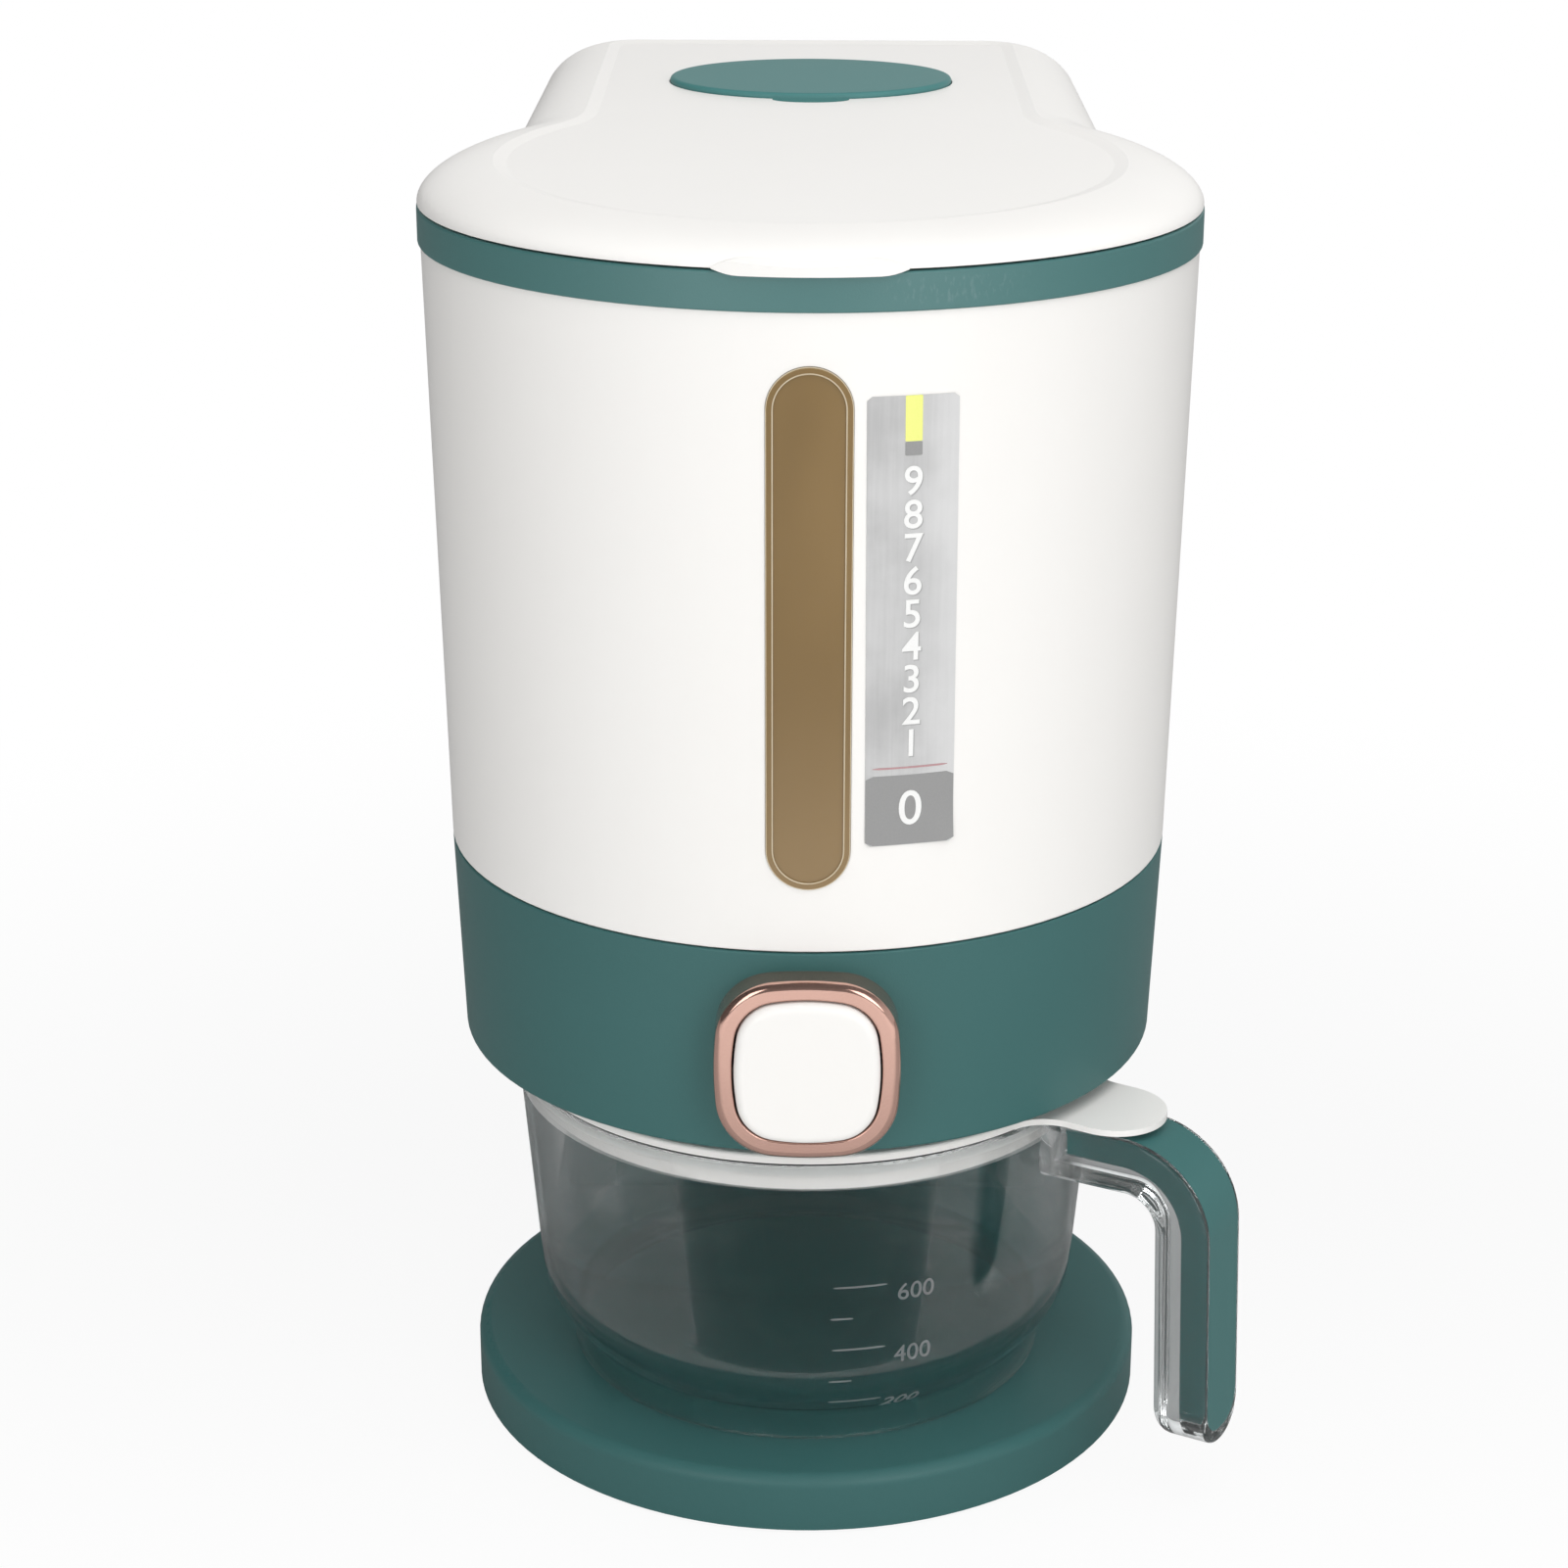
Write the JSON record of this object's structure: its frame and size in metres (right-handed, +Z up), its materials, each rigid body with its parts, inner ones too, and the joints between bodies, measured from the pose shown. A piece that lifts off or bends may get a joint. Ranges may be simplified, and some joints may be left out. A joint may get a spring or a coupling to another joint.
{
  "type": "rice dispenser",
  "caption": "Counter-top rice dispenser: lidded container with a level window and a push-button outlet, held by a rear column over a clear measuring cup.",
  "frame": {"origin": "on the table, under the axis of the round front of the body; the middle rubber pad of the base is centred on it", "axes": "+Z up; the button and the level window look along -Y; the rear column and the lid hinge are at +Y; the cup handle points towards +X and -Y"},
  "size_m": [0.259, 0.3825, 0.4234],
  "materials": {
    "green_plastic": "fine matte, moulded in blue-green",
    "white_plastic": "satin, moulded in warm white",
    "clear_plastic": "clear and polished",
    "brown_window": "clear brown and polished",
    "rose_gold": "metallised rose gold",
    "dark_plastic": "matte",
    "hidden_plastic": "matte natural",
    "foot_rubber": "matte",
    "silicone": "translucent silicone",
    "steel": "zinc plated"
  },
  "bodies": {
    "body": {"base_tray": "green_plastic", "base_cover": "dark_plastic", "base_feet": "foot_rubber", "base_screws": "steel", "rear_column": "green_plastic", "column_screws": "steel", "lower_housing": "green_plastic", "button_bezel": "rose_gold", "gate_guide": "hidden_plastic", "hopper": "hidden_plastic", "hopper_screws": "steel", "container_shell": "white_plastic", "level_window": "brown_window", "top_ring": "green_plastic", "hinge_pins": "steel"},
    "button": {"button_cap": "white_plastic", "shutter_gate": "hidden_plastic", "return_spring": "steel"},
    "lid": {"lid": "white_plastic", "lid_gasket": "silicone"},
    "moisture_cap": {"moisture_cap": "green_plastic", "desiccant_basket": "hidden_plastic"},
    "cup": {"measuring_cup": "clear_plastic", "handle_grip": "green_plastic"},
    "cup_cover": {"cup_cover": "white_plastic"}
  },
  "joints": [
    {"name": "button_press", "type": "slide", "parent": "body", "child": "button", "axis": [0, 1, 0], "range_m": [0, 0.01], "stiffness_N_per_m": 300, "springref_m": -0.005, "deforming": ["return_spring"]},
    {"name": "lid_hinge", "type": "hinge", "parent": "body", "child": "lid", "pos_m": [0, 0.2505, 0.4045], "axis": [-1, 0, 0], "range_deg": [0, 100]},
    {"name": "cap_lift", "type": "slide", "parent": "lid", "child": "moisture_cap", "axis": [0, -0.034, 0.9994], "range_m": [0, 0.05]},
    {"name": "cup_draw", "type": "slide", "parent": "body", "child": "cup", "axis": [0, -1, 0], "range_m": [0, 0.24]},
    {"name": "cover_turn", "type": "hinge", "parent": "cup", "child": "cup_cover", "pos_m": [0, -0.011, 0.125], "axis": [0, 0, 1], "range_deg": [0, 40]}
  ]
}
